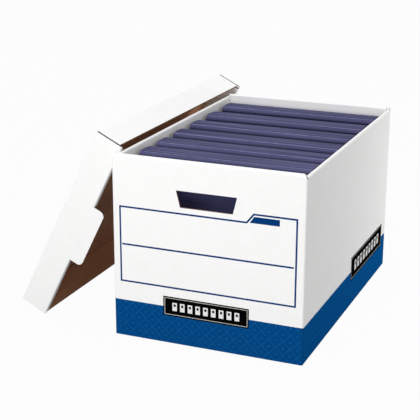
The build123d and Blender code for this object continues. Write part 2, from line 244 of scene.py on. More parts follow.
# %% [markdown]
# ## Print
#
# The board is printed flat in two inks by flexography: a blue band round the foot, a ruled frame
# for a title, and a plain black label. Print could be thin meshes laid on the walls, but then it
# would float and catch the light. As masks in the board's own material it stays ink on paper: a
# mask is the distance to a rectangle, which is negative inside it, and a ruled line is where
# that distance is near zero.


# %% Distances that printed shapes are cut from
def box_distance(tree, u, v, centre, half):
    """Distance to a rectangle's outline in millimetres, negative inside it."""
    sides = []
    for value, middle, reach in ((u, centre[0], half[0]), (v, centre[1], half[1])):
        sides.append(add_node(tree, "Math", {0: far_from(tree, value, middle), 1: reach},
                              operation="SUBTRACT"))
    return add_node(tree, "Math", {0: sides[0], 1: sides[1]}, operation="MAXIMUM")


def cut_slanted(tree, u, v, distance, foot, run_per_rise):
    """Cuts a shape on its left with a slanted line that starts at foot and leans to the right."""
    line = add_node(tree, "Math", {0: v, 1: run_per_rise, 2: foot[0] - run_per_rise * foot[1]},
                    operation="MULTIPLY_ADD")
    left = add_node(tree, "Math", {0: line, 1: u}, operation="SUBTRACT")
    left = add_node(tree, "Math", {0: left, 1: 1 / math.hypot(1, run_per_rise)}, operation="MULTIPLY")
    return add_node(tree, "Math", {0: distance, 1: left}, operation="MAXIMUM")


def filled(tree, distance):
    """Mask of a printed area: 1 inside the shape."""
    return add_node(tree, "Math", {0: distance, 1: 0.0}, operation="LESS_THAN")


def ruled(tree, distance, width, inset=0.0):
    """Mask of a printed line that follows a shape's outline, or runs inside it by an inset."""
    return add_node(tree, "Math", {0: far_from(tree, distance, -inset), 1: width / 2},
                    operation="LESS_THAN")


def outer_skin(tree, x, y):
    """Mask of the carton's outside: whatever lies near its outline, seen from above."""
    to_outline = box_distance(tree, x, y, (0.0, 0.0), (half_width, half_length))
    return add_node(tree, "Math", {0: to_outline, 1: -skin}, operation="GREATER_THAN")


print("outside: the outer", skin, "mm of the walls")

# %% Printed blue with its tone-on-tone lattice
# The band carries a quiet pattern in the same ink: a plain diagonal lattice 17 mm across with a
# dot in every cell, a shade lighter than the ground.
lattice_size = 17.0
lattice_line = 0.9
lattice_dot = 2.0
lattice_strength = 0.55


def blue_ink(tree, u, v, place, inks):
    """Colour of the blue print: solid ink, slightly uneven, with the lattice a shade lighter."""
    masks = []
    offsets = []
    for sign in (1.0, -1.0):
        slant = add_node(tree, "Math", {0: v, 1: sign, 2: u}, operation="MULTIPLY_ADD")
        cell = add_node(tree, "Math", {0: slant, 1: lattice_size * math.sqrt(2)},
                        operation="FLOORED_MODULO")
        offset = add_node(tree, "Math", {0: cell, 1: lattice_size / math.sqrt(2)},
                          operation="SUBTRACT")
        offsets.append(offset)
        far = add_node(tree, "Math", {0: offset}, operation="ABSOLUTE")
        masks.append(add_node(tree, "Math", {0: far, 1: lattice_size / math.sqrt(2) - lattice_line},
                              operation="GREATER_THAN"))
    lines = add_node(tree, "Math", {0: masks[0], 1: masks[1]}, operation="MAXIMUM")
    centre = add_node(tree, "CombineXYZ", {0: offsets[0], 1: offsets[1]})
    radius = add_node(tree, "VectorMath", {0: centre}, operation="LENGTH")
    dot = add_node(tree, "Math", {0: radius.outputs["Value"], 1: lattice_dot * math.sqrt(2)},
                   operation="LESS_THAN")
    motif = add_node(tree, "Math", {0: lines, 1: dot}, operation="MAXIMUM")
    motif = add_node(tree, "Math", {0: motif, 1: lattice_strength}, operation="MULTIPLY")
    uneven = add_node(tree, "TexNoise", {"Vector": place, "Scale": 0.5, "Detail": 4.0, "Roughness": 0.65})
    ground = add_node(tree, "Mix", {0: uneven, 6: linear(inks[0]), 7: linear(inks[1])}, data_type="RGBA")
    return add_node(tree, "Mix", {0: motif, 6: ground, 7: linear(inks[2])}, data_type="RGBA")


print("lattice", lattice_size, "mm across, dots", 2 * lattice_dot, "mm")

# %% Sizes of the print
ink_blue = "#01356F"
end_inks = ("#013F78", "#074A86", "#165A97")
# The side walls' inks are a step lighter than the end walls' to make up for the weaker light on the side
# walls: painted light.
side_inks_painted_lighter = ("#024A88", "#095596", "#1A66A8")
ink_black = "#060607"
keyline = "#B9B4AC"
label_white = "#E4E4E2"
band_height = 64.0
rule_width = 3.0
title_box = ((-0.5, 162.2), (151.2, 64.2))
title_tab = ((105.35, 169.5), (45.35, 71.5))
title_tab_foot = (68.4, 226.4)
title_tab_slant = 0.8
tag_box = ((96.4, 231.9), (26.4, 5.3))
tag_foot = (73.0, 226.6)
tag_slant = 0.74
title_rule = ((-1.0, 162.3), (148.0, 1.5))
end_label = ((-1.0, 65.0), (75.0, 17.0))
side_label = ((122.0, 68.5), (106.0, 22.0))
label_line = 1.1
label_line_inset = 2.8
spine_pitch = 1 / 11
spine_row_reach = 4.5
spine_half = (0.3, 0.42)
window_half = (0.14, 0.13)
window_rise = 0.14
print("title frame", 2 * title_box[1][0], "x", 2 * title_box[1][1], "mm, band", band_height, "mm high")


# %% Row of spines on the label
def spine_row(tree, u, v, centre, half):
    """Mask of the label's sign for what the carton holds: a row of upright spines with windows.

    Along the label their sizes are shares of the pitch, and up it, shares of half its height."""
    pitch = 2 * half[0] * spine_pitch
    offset = add_node(tree, "Math", {0: u, 1: centre[0] - pitch / 2}, operation="SUBTRACT")
    cell = add_node(tree, "Math", {0: offset, 1: pitch}, operation="FLOORED_MODULO")
    spine = box_distance(tree, cell, v, (pitch / 2, centre[1]),
                         (spine_half[0] * pitch, spine_half[1] * half[1]))
    window = box_distance(tree, cell, v, (pitch / 2, centre[1] + window_rise * half[1]),
                          (window_half[0] * pitch, window_half[1] * half[1]))
    row = box_distance(tree, u, v, centre, (spine_row_reach * pitch, half[1]))
    shape = add_node(tree, "Math", {0: spine, 1: row}, operation="MAXIMUM")
    hollow = add_node(tree, "Math", {0: window, 1: -1.0}, operation="MULTIPLY")
    return filled(tree, add_node(tree, "Math", {0: shape, 1: hollow}, operation="MAXIMUM"))


print("label", 2 * end_label[1][0], "x", 2 * end_label[1][1], "mm on the ends")

# %% [markdown]
# ## Walls of the carton
#
# The end walls are folded over at the rim and down again inside, the side walls are rolled over,
# so the white side of the board shows inside the carton too. Only cut edges are brown: round the
# hand holes, in the small notches at the corners and at the ends of the rolls. Both end walls
# carry the same print, and both side walls carry the band and a longer label.


# %% Layers of print on a wall
def title_rules(tree, u, v):
    """Mask of the title frame with its tab, the rule across it and the solid tag in the tab."""
    to_title = box_distance(tree, u, v, *title_box)
    to_tab = cut_slanted(tree, u, v, box_distance(tree, u, v, *title_tab), title_tab_foot,
                         title_tab_slant)
    to_title = add_node(tree, "Math", {0: to_title, 1: to_tab}, operation="MINIMUM")
    to_tag = cut_slanted(tree, u, v, box_distance(tree, u, v, *tag_box), tag_foot, tag_slant)
    rules = ruled(tree, to_title, rule_width)
    for area in (to_tag, box_distance(tree, u, v, *title_rule)):
        rules = add_node(tree, "Math", {0: rules, 1: filled(tree, area)}, operation="MAXIMUM")
    return rules


def wall_print(tree, u, v, place, white, is_end):
    """Colour of a printed wall, and the mask of what solid ink covers."""
    label_box = end_label if is_end else side_label
    to_label = box_distance(tree, u, v, *label_box)
    label = filled(tree, to_label)
    band = add_node(tree, "Math", {0: v, 1: band_height}, operation="LESS_THAN")
    # On the side walls the blue is painted lighter, as painted light for their dimmer lighting.
    blue = blue_ink(tree, u, v, place, end_inks if is_end else side_inks_painted_lighter)
    colour = add_node(tree, "Mix", {0: band, 6: white, 7: blue}, data_type="RGBA")
    layers = [(label, ink_black), (ruled(tree, to_label, label_line, label_line_inset), keyline),
              (spine_row(tree, u, v, *label_box), label_white)]
    if is_end:
        layers.insert(0, (title_rules(tree, u, v), ink_blue))
    for mask, ink in layers:
        colour = add_node(tree, "Mix", {0: mask, 6: colour, 7: linear(ink)}, data_type="RGBA")
    return colour, add_node(tree, "Math", {0: band, 1: label}, operation="MAXIMUM")


print("label", 2 * side_label[1][0], "x", 2 * side_label[1][1], "mm on the sides")

# %% Raw edges of a wall
hole_zone = ((0.0, carton_height - 62.5), (60.0, 22.0))


def wall_cuts(tree, x, z, normal, is_end):
    """Mask of the raw edges: notches at the corners, and hand holes or the ends of the rolls."""
    out_normal, flat_normal = (normal[1], normal[0]) if is_end else (normal[0], normal[1])
    steep = add_node(tree, "Math", {0: flat_normal, 1: normal[2]}, operation="MULTIPLY")
    steep = add_node(tree, "Math", {0: steep}, operation="ABSOLUTE")
    notch = add_node(tree, "Math", {0: steep, 1: 0.1}, operation="GREATER_THAN")
    if is_end:
        level = add_node(tree, "Math", {0: out_normal}, operation="ABSOLUTE")
        across = add_node(tree, "Math", {0: level, 1: 0.6}, operation="LESS_THAN")
        hole = filled(tree, box_distance(tree, x, z, *hole_zone))
        cut = add_node(tree, "Math", {0: hole, 1: across}, operation="MULTIPLY")
    else:
        level = add_node(tree, "Math", {0: flat_normal}, operation="ABSOLUTE")
        cut = add_node(tree, "Math", {0: level, 1: 0.7}, operation="GREATER_THAN")
    return add_node(tree, "Math", {0: notch, 1: cut}, operation="MAXIMUM")


print("raw edges of the hand holes lie within", hole_zone)


# %% Material for a printed wall
def printed_wall(name, is_end):
    """White coated corrugated board, printed: satin paper with a faint washboard, and matt ink.

    Ink soaks in and takes the sheen off the paper, so the sheen is left out where there is print."""
    material, tree, surface = start_material(name, **{"Roughness": 0.6})
    place, facing = object_place(tree)
    x, y, z = add_node(tree, "SeparateXYZ", {0: place}).outputs
    normal = add_node(tree, "SeparateXYZ", {0: facing}).outputs
    depth, along, half = (y, x, half_length) if is_end else (x, y, half_width)
    outward = add_node(tree, "Math", {0: depth}, operation="SIGN")
    u = add_node(tree, "Math", {0: along, 1: outward}, operation="MULTIPLY")
    if is_end:
        u = add_node(tree, "Math", {0: u, 1: -1.0}, operation="MULTIPLY")
    white = white_liner(tree, place, along)
    printed, inked = wall_print(tree, u, z, place, white, is_end)
    colour = add_node(tree, "Mix", {0: outer_skin(tree, x, y), 6: white, 7: printed}, data_type="RGBA")

    from_outside = add_node(tree, "Math", {0: depth}, operation="ABSOLUTE")
    from_outside = add_node(tree, "Math", {0: half, 1: from_outside}, operation="SUBTRACT")
    level = add_node(tree, "Math", {0: normal[2]}, operation="ABSOLUTE")
    crosses = add_node(tree, "Math", {0: level, 1: 0.5}, operation="GREATER_THAN")
    edge = cut_edge(tree, from_outside, along, crosses)
    colour = add_node(tree, "Mix", {0: wall_cuts(tree, x, z, normal, is_end), 6: colour, 7: edge},
                      data_type="RGBA")
    tree.links.new(colour.outputs[2], surface.inputs["Base Color"])
    sheen = add_node(tree, "MapRange", {"Value": inked, "To Min": 0.03, "To Max": 0.0})
    tree.links.new(sheen.outputs[0], surface.inputs["Specular IOR Level"])
    board_relief(tree, surface, place, along)
    return material


printed_end = printed_wall("printed_white_board_end", True)
printed_side = printed_wall("printed_white_board_side", False)
for node_name, material in (("carton_front_wall", printed_end), ("carton_back_wall", printed_end),
                            ("carton_left_wall", printed_side), ("carton_right_wall", printed_side)):
    finish_node(node_name, material)
print("end wall shader nodes", len(printed_end.node_tree.nodes))

# %% [markdown]
# ## Bottom flaps
#
# The flaps that close the bottom are the same board, white below and kraft inside. The long pair
# lies outside, the end pair on it, so from above the floor of the carton is brown with one seam
# across the middle. Their folds lie in the carton's outer skin and carry the band's blue.


# %% Material for the bottom flaps
def bottom_board(name, flutes_along_x):
    """Corrugated board seen from its plain kraft side: dull brown paper, white on the underside."""
    material, tree, surface = start_material(name, **{"Roughness": 0.85, "Specular IOR Level": 0.05})
    place, facing = object_place(tree)
    x, y, z = add_node(tree, "SeparateXYZ", {0: place}).outputs
    up = add_node(tree, "SeparateXYZ", {0: facing}).outputs[2]
    along = y if flutes_along_x else x
    below = add_node(tree, "Math", {0: up, 1: -0.5}, operation="LESS_THAN")
    flat = add_node(tree, "Math", {0: up}, operation="ABSOLUTE")
    raw = add_node(tree, "Math", {0: flat, 1: 0.5}, operation="LESS_THAN")
    colour = add_node(tree, "Mix", {0: below, 6: kraft_liner(tree, place, along),
                                    7: white_liner(tree, place, along)}, data_type="RGBA")
    colour = add_node(tree, "Mix", {0: raw, 6: colour, 7: cut_edge(tree, z, along)}, data_type="RGBA")
    colour = add_node(tree, "Mix", {0: outer_skin(tree, x, y), 6: colour, 7: linear(end_inks[0])},
                      data_type="RGBA")
    tree.links.new(colour.outputs[2], surface.inputs["Base Color"])
    board_relief(tree, surface, place, along)
    return material


for pair, flutes_along_x in ((("left", "right"), True), (("front", "back"), False)):
    flap_board = bottom_board("kraft_board_long_flaps" if flutes_along_x else "kraft_board_end_flaps",
                              flutes_along_x)
    for side in pair:
        finish_node(f"bottom_flap_{side}", flap_board)
print("bottom flap shader nodes", len(flap_board.node_tree.nodes))

# %% [markdown]
# ## Lid
#
# The lid leans on the carton, so the patterns on it need the lid's own directions: across it, along it
# and outward. A Mapping node turns the coordinates that far back about Y, from the corner of the lid that
# the CAD part is drawn from. The lid is white outside and kraft inside, its end flaps are folded in at
# the rim and so are white on both sides, and the long flaps end in a raw cut edge. Where an end flap
# meets a long flap the cut sides face each other in a slit, which takes in so little light that it reads
# as a dark line; those cut sides are painted near black, a painted shade.

# %% The lid's own directions
lid_corner = Vector((-363.58, 0.0, 22.33))
lid_lean = math.radians(26.39)
lid_width = 354.2
lid_depth = 51.0
upper_flap_depth = 45.0
slit_painted_shade = "#201A17"
lid_turn = (0.0, lid_lean - math.pi / 2, 0.0)
print("lid leans", round(math.degrees(lid_lean), 1), "degrees")


def lid_place(tree):
    """Place across, along and out of the lid in millimetres, and the way the surface faces there."""
    place, facing = object_place(tree)
    local = add_node(tree, "Mapping", {"Vector": place, "Location": lid_corner, "Rotation": lid_turn},
                     vector_type="TEXTURE")
    turned_back = tuple(-angle for angle in lid_turn)
    turned = add_node(tree, "Mapping", {"Vector": facing, "Rotation": turned_back}, vector_type="VECTOR")
    return place, local.outputs[0], turned.outputs[0]


# %% Score lines inside the lid
# Beside each fold the kraft side shows where the creasing tool pressed the board: a dark line and a paler
# one along it, partly the pressed paper and partly painted shade and a painted highlight of the ridge it
# left. Each has its place, its tone and how strongly it shows.
score_inset = 4.0
score_width = 1.6
score_shade_and_highlight_lines = ((0.0, "#3A2418", 0.85), (2.2, "#D9AC8C", 0.5))
inside_reach = 200.0
print("score lines", [score_inset + place for place, tone, strength in score_shade_and_highlight_lines], "mm from the flaps")


# %% Material for the lid's panel and long flaps
def lid_panel_board(name):
    """White coated board outside, kraft inside, with the raw edge of the flutes along the rims."""
    material, tree, surface = start_material(name, **{"Roughness": 0.7, "Specular IOR Level": 0.06})
    place, local, facing = lid_place(tree)
    across, along, out = add_node(tree, "SeparateXYZ", {0: local}).outputs
    normal = add_node(tree, "SeparateXYZ", {0: facing}).outputs
    half = lid_width / 2 - board
    to_inside = box_distance(tree, across, out, (lid_width / 2, -board - inside_reach),
                             (half, inside_reach))
    inside = add_node(tree, "Math", {0: to_inside, 1: 0.5}, operation="LESS_THAN")
    colour = add_node(tree, "Mix", {0: inside, 6: white_liner(tree, place, along),
                                    7: kraft_liner(tree, place, along)}, data_type="RGBA")
    from_middle = far_from(tree, across, lid_width / 2)
    to_score = add_node(tree, "Math", {0: from_middle, 1: half - score_inset}, operation="SUBTRACT")
    # The dark score line is partly painted shade, the pale one partly a painted highlight.
    for offset, tone, strength in score_shade_and_highlight_lines:
        score = ruled(tree, to_score, score_width, offset)
        for share in (inside, strength):
            score = add_node(tree, "Math", {0: score, 1: share}, operation="MULTIPLY")
        colour = add_node(tree, "Mix", {0: score, 6: colour, 7: linear(tone)}, data_type="RGBA")

    at_rim = add_node(tree, "Math", {0: out, 1: 1.0 - upper_flap_depth}, operation="LESS_THAN")
    faces_rim = add_node(tree, "Math", {0: normal[2], 1: -0.7}, operation="LESS_THAN")
    rim = add_node(tree, "Math", {0: at_rim, 1: faces_rim}, operation="MULTIPLY")
    level = add_node(tree, "Math", {0: normal[1]}, operation="ABSOLUTE")
    end_face = add_node(tree, "Math", {0: level, 1: 0.7}, operation="GREATER_THAN")
    raw = add_node(tree, "Math", {0: rim, 1: end_face}, operation="MAXIMUM")
    depth = add_node(tree, "Math", {0: lid_width / 2, 1: from_middle}, operation="SUBTRACT")
    # The channel's cut ends face the slit and are painted near black: painted shade.
    edge = add_node(tree, "Mix", {0: end_face, 6: cut_edge(tree, depth, along), 7: linear(slit_painted_shade)},
                    data_type="RGBA")
    colour = add_node(tree, "Mix", {0: raw, 6: colour, 7: edge}, data_type="RGBA")
    tree.links.new(colour.outputs[2], surface.inputs["Base Color"])
    board_relief(tree, surface, place, along)
    return material


lid_material = lid_panel_board("white_over_kraft_board_lid")
finish_node("lid_top", lid_material)
print("lid panel shader nodes", len(lid_material.node_tree.nodes))


# %% Material for the lid's end flaps
def lid_flap_board(name):
    """White coated board, folded double, so only the locking tab's edge is brown; its sides, which face
    the slit, are painted dark, a painted shade.
    """
    material, tree, surface = start_material(name, **{"Roughness": 0.6, "Specular IOR Level": 0.06})
    place, local, facing = lid_place(tree)
    across, along, out = add_node(tree, "SeparateXYZ", {0: local}).outputs
    normal = add_node(tree, "SeparateXYZ", {0: facing}).outputs
    level = add_node(tree, "Math", {0: normal[1]}, operation="ABSOLUTE")
    sideways = add_node(tree, "Math", {0: level, 1: 0.3}, operation="LESS_THAN")
    below_rim = add_node(tree, "Math", {0: out, 1: -lid_depth - 0.5}, operation="LESS_THAN")
    tab_edge = add_node(tree, "Math", {0: below_rim, 1: sideways}, operation="MULTIPLY")
    end_on = add_node(tree, "Math", {0: normal[0]}, operation="ABSOLUTE")
    end_on = add_node(tree, "Math", {0: end_on, 1: 0.8}, operation="GREATER_THAN")
    colour = add_node(tree, "Mix", {0: tab_edge, 6: white_liner(tree, place, out),
                                    7: cut_edge(tree, along, out)}, data_type="RGBA")
    # Sides that face the slit are painted near black: painted shade.
    colour = add_node(tree, "Mix", {0: end_on, 6: colour, 7: linear(slit_painted_shade)}, data_type="RGBA")
    tree.links.new(colour.outputs[2], surface.inputs["Base Color"])
    board_relief(tree, surface, place, out)
    return material


lid_flap_material = lid_flap_board("white_board_lid_flaps")
for node_name in ("lid_front_flap", "lid_back_flap"):
    finish_node(node_name, lid_flap_material)
print("lid end flap shader nodes", len(lid_flap_material.node_tree.nodes))

# %% [markdown]
# ## Binder covers
#
# A cheap ring binder is three boards sealed between two sheets of PVC by a hot, high-frequency tool. The
# sheet has a fine embossed grain and a soft shine, lies slack over the boards, and is pressed to a thin
# shiny line where the two sheets are welded, beside the hinges and round the edges. The weld line along
# the spine's front edge is painted pale, partly as a painted highlight where that edge catches the light.
# The hinge beside the spine has no board in it, so there the sheets are pressed flat; it lies deep in the
# gap between binders and is painted darker, a painted shade. Above it, on the upright faces, a paler band
# round the spine board's edge is painted light, and the spine is worn paler in long streaks. Each binder
# gets its own copy of the material, set to that binder's own box, so that the weld lines lie along its
# spine.

# %% Sizes and tones of the binder cover
# The front weld line lies on top of the spine's rounded front edge, where the light catches it; its pale
# tone is partly a painted highlight.
front_weld = 4.2
back_weld = 1.6
weld_width = 1.5
edge_border = 2.2
hinge_top = 7.5
hinge_foot = 12.5
shoulder_fade = 1.0
vinyl_tones = ("#363656", "#434365")
streak_tone = "#5C5C82"
# The weld lines' pale tone is partly a painted highlight.
weld_and_painted_highlight_tone = "#8A8AB0"
# The shoulder's pale tone is painted light, and the hinge's dark tone is painted shade.
shoulder_painted_light_tone = "#64648A"
hinge_painted_shade_tone = "#1B1B33"
print("welds", front_weld, "and", back_weld, "mm from the spine's two edges")


# %% Where the vinyl is pressed
def weld_lines(tree, y, above, low, high):
    """Mask of the two weld lines that run along the top of a spine."""
    welds = []
    for line in (low.y / MM + front_weld, high.y / MM - back_weld):
        welds.append(add_node(tree, "Math", {0: far_from(tree, y, line), 1: weld_width / 2},
                              operation="LESS_THAN"))
    weld = add_node(tree, "Math", {0: welds[0], 1: welds[1]}, operation="MAXIMUM")
    return add_node(tree, "Math", {0: weld, 1: above}, operation="MULTIPLY")


def vinyl_relief(tree, surface, place, pressed):
    """Bumps of the sheet: embossed grain and slack wrinkles, and flat where it is pressed."""
    grain = add_node(tree, "TexVoronoi", {"Vector": place, "Scale": 1.3}, feature="SMOOTH_F1")
    wrinkle = add_node(tree, "TexNoise", {"Vector": place, "Scale": 0.06, "Detail": 2.0})
    height = add_node(tree, "Math", {0: wrinkle, 1: 3.0, 2: grain.outputs["Distance"]},
                      operation="MULTIPLY_ADD")
    height = add_node(tree, "Math", {0: pressed, 1: -1.5, 2: height}, operation="MULTIPLY_ADD")
    relief = add_node(tree, "Bump", {"Height": height, "Strength": 0.7, "Distance": 0.08 * MM})
    tree.links.new(relief.outputs[0], surface.inputs["Normal"])


print("weld lines", weld_width, "mm wide, pressed edges", edge_border, "mm")


# %% Colours of the vinyl
def vinyl_colour(tree, place, above, weld):
    """Dark violet blue, a little cloudy, worn paler in streaks on top, and painted pale on the welds,
    partly as a painted highlight.
    """
    drawn = add_node(tree, "Mapping", {"Vector": place, "Scale": (0.12, 1.0, 0.45)})
    slack = add_node(tree, "TexNoise", {"Vector": drawn, "Scale": 0.1, "Detail": 5.0, "Roughness": 0.7})
    slack = add_node(tree, "MapRange", {"Value": slack, "From Min": 0.3, "From Max": 0.7})
    colour = add_node(tree, "Mix", {0: slack, 6: linear(vinyl_tones[0]), 7: linear(vinyl_tones[1])},
                      data_type="RGBA")
    stretched = add_node(tree, "Mapping", {"Vector": place, "Scale": (0.015, 1.0, 0.3)})
    streaks = add_node(tree, "TexNoise", {"Vector": stretched, "Scale": 0.22, "Detail": 3.0,
                                          "Roughness": 0.6})
    streaks = add_node(tree, "MapRange", {"Value": streaks, "From Min": 0.45, "From Max": 0.65})
    weld_highlight_breaks = add_node(tree, "TexNoise", {"Vector": place, "Scale": 0.12, "Detail": 5.0, "Roughness": 0.7})
    weld_highlight_breaks = add_node(tree, "MapRange", {"Value": weld_highlight_breaks, "From Min": 0.35, "From Max": 0.65,
                                         "To Min": 0.4, "To Max": 1.0})
    # The welds' pale tone, broken up by noise, is partly a painted highlight on the spine's front edge.
    for pattern, mask, tone in ((streaks, above, streak_tone), (weld_highlight_breaks, weld, weld_and_painted_highlight_tone)):
        share = add_node(tree, "Math", {0: pattern, 1: mask}, operation="MULTIPLY")
        colour = add_node(tree, "Mix", {0: share, 6: colour, 7: linear(tone)}, data_type="RGBA")
    return colour


def painted_shoulder_light_and_hinge_shade(tree, colour, normal, z, top):
    """Painted light as a pale band under the spine board's edge, and painted shade over the hinge below
    it, on the upright faces.
    """
    upright = add_node(tree, "Math", {0: normal[1]}, operation="ABSOLUTE")
    upright = add_node(tree, "Math", {0: upright, 1: 0.7}, operation="GREATER_THAN")
    below_top = add_node(tree, "Math", {0: top, 1: z}, operation="SUBTRACT")
    shoulder = add_node(tree, "MapRange", {"Value": below_top, "From Min": hinge_top - shoulder_fade,
                                           "From Max": hinge_top, "To Min": 0.55, "To Max": 0.0})
    middle = (hinge_top + hinge_foot) / 2
    hinge = add_node(tree, "MapRange", {"Value": far_from(tree, below_top, middle), "From Min": 0.0,
                                        "From Max": middle - hinge_top, "To Min": 0.85, "To Max": 0.0})
    # The pale shoulder is painted light and the dark hinge is painted shade.
    for mask, tone in ((shoulder, shoulder_painted_light_tone), (hinge, hinge_painted_shade_tone)):
        share = add_node(tree, "Math", {0: mask, 1: upright}, operation="MULTIPLY")
        colour = add_node(tree, "Mix", {0: share, 6: colour, 7: linear(tone)}, data_type="RGBA")
    return colour


print("hinge from", hinge_top, "to", hinge_foot, "mm below the top of the spine")


# %% Material for a binder's vinyl
def heat_sealed_vinyl(number):
    """Embossed PVC sheet over board: dark violet blue, satin, with pressed weld lines painted pale,
    partly as a painted highlight.
    """
    low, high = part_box(f"binder_{number}_cover")
    material, tree, surface = start_material(
        f"heat_sealed_vinyl_{number}",
        **{"Roughness": 0.45, "Specular IOR Level": 0.01, "IOR": 1.53})
    place, facing = object_place(tree)
    x, y, z = add_node(tree, "SeparateXYZ", {0: place}).outputs
    normal = add_node(tree, "SeparateXYZ", {0: facing}).outputs
    above = add_node(tree, "Math", {0: normal[2], 1: 0.3}, operation="GREATER_THAN")
    weld = weld_lines(tree, y, above, low, high)
    colour = vinyl_colour(tree, place, above, weld)
    colour = painted_shoulder_light_and_hinge_shade(tree, colour, normal, z, high.z / MM)
    tree.links.new(colour.outputs[2], surface.inputs["Base Color"])
    from_middle = far_from(tree, x, (low.x + high.x) / 2 / MM)
    border = add_node(tree, "Math", {0: from_middle, 1: (high.x - low.x) / 2 / MM - edge_border},
                      operation="GREATER_THAN")
    pressed = add_node(tree, "Math", {0: weld, 1: border}, operation="MAXIMUM")
    vinyl_relief(tree, surface, place, pressed)
    return material


for number in binder_numbers:
    cover_material = heat_sealed_vinyl(number)
    finish_node(f"binder_{number}_cover", cover_material)
print("cover shader nodes", len(cover_material.node_tree.nodes))

# %% [markdown]
# ## Ring metal
#
# The rings, rails, plate and rivets are steel, formed and then nickel plated: bright, slightly
# warm and not quite a mirror, with fine lines left by the forming tool.

# %% Material for the ring metal
nickel_tones = ("#B9B5AC", "#D2D0CA")


def nickel_plate(name):
    """Nickel plated steel: a bright metal with fine drawing lines and a little tarnish."""
    material, tree, surface = start_material(name, **{"Metallic": 1.0})
    place = object_place(tree)[0]
    drawn = add_node(tree, "Mapping", {"Vector": place, "Scale": (0.05, 1.0, 1.0)})
    lines = add_node(tree, "TexNoise", {"Vector": drawn, "Scale": 2.5, "Detail": 4.0, "Roughness": 0.6})
    tarnish = add_node(tree, "TexNoise", {"Vector": place, "Scale": 0.08, "Detail": 3.0})
    colour = add_node(tree, "Mix", {0: tarnish, 6: linear(nickel_tones[0]), 7: linear(nickel_tones[1])},
                      data_type="RGBA")
    tree.links.new(colour.outputs[2], surface.inputs["Base Color"])
    rough = add_node(tree, "MapRange", {"Value": lines, "From Min": 0.3, "From Max": 0.7,
                                        "To Min": 0.18, "To Max": 0.32})
    tree.links.new(rough.outputs[0], surface.inputs["Roughness"])
    relief = add_node(tree, "Bump", {"Height": lines, "Strength": 0.25, "Distance": 0.02 * MM})
    tree.links.new(relief.outputs[0], surface.inputs["Normal"])
    return material


nickel = nickel_plate("nickel_plated_steel")
for number in binder_numbers:
    for part in ("ring_plate", "upper_rings", "lower_rings", "rivets"):
        finish_node(f"binder_{number}_{part}", nickel)
print("ring metal shader nodes", len(nickel.node_tree.nodes))

# %% [markdown]
# ## Round ring wires
#
# The solids draw the ring wire with six sides, to stay light. Up close it is round wire, bent cold
# round a roller and cut off square at the tips, with three half rings welded on each rail. Here a
# round section is pushed along each straight run and spun round each bend, which gives every bend
# the roller's radius. The rail is a strip with its edges broken, so that they catch the light. A
# rail leans seven degrees from the cover, and its rings are drawn from the line it turns about.
# Last, the corners and faces are put in order of place, so that every run gives the same mesh.

# %% Sizes of the rings
wire_radius = 1.9
wire_sides = 16
bend_radius = 9.0
bend_steps = 8
ring_places = (-108.0, 0.0, 108.0)
turning_line = (39.1, 261.9)
rail_reach = (0.15, 10.0)
rail_thickness = 1.2
rail_half_length = 133.0
rail_turn = math.radians(97.0)
broken_edge = 0.25
sharp_angle = math.radians(50.0)
ring_bends = {
    "upper": ((-1.044, 8.5), (-13.044, 22.0), (-31.4, 22.0), (-31.4, 3.3)),
    "lower": ((-1.044, -8.5), (-31.4, -8.5), (-31.4, 3.0)),
}
print("ring wire", 2 * wire_radius, "mm thick, bent round", bend_radius, "mm")


# %% One ring wire
def only(kind, geometry):
    """The vertices or the edges of what an operator gives back."""
    return [item for item in geometry if isinstance(item, kind)]


def break_edges(metal, edges):
    """Takes the sharpness off edges, as tumbling does."""
    bmesh.ops.bevel(metal, geom=edges, offset=broken_edge * MM, segments=2, profile=0.5,
                    affect="EDGES", material=-1)


def draw_wire(metal, points):
    """Pushes a round section along straight runs and spins it round the bends between them."""
    heading = (points[1] - points[0]).normalized()
    stand = Matrix.Translation(points[0]) @ heading.to_track_quat("Z", "Y").to_matrix().to_4x4()
    section = bmesh.ops.create_circle(metal, segments=wire_sides, radius=wire_radius * MM, matrix=stand)
    end = list(dict.fromkeys(edge for vertex in section["verts"] for edge in vertex.link_edges))
    tips = list(end)
    here = points[0]
    for number, corner in enumerate(points[1:], start=2):
        stop = corner
        if number < len(points):
            turned = (points[number] - corner).normalized()
            angle = heading.angle(turned)
            stop = corner - heading * bend_radius * MM * math.tan(angle / 2)
        pushed = bmesh.ops.extrude_edge_only(metal, edges=end)["geom"]
        bmesh.ops.translate(metal, verts=only(bmesh.types.BMVert, pushed), vec=stop - here)
        end = only(bmesh.types.BMEdge, pushed)
        if number < len(points):
            axis = heading.cross(turned).normalized()
            centre = stop + axis.cross(heading) * bend_radius * MM
            spun = bmesh.ops.spin(metal, geom=end, cent=centre, axis=axis, angle=angle,
                                  steps=bend_steps)
            end = only(bmesh.types.BMEdge, spun["geom_last"])
            here = corner + turned * bend_radius * MM * math.tan(angle / 2)
            heading = turned
    for tip in (tips, end):
        bmesh.ops.edgeloop_fill(metal, edges=tip)
        break_edges(metal, tip)


print("tips and edges broken by", broken_edge, "mm")


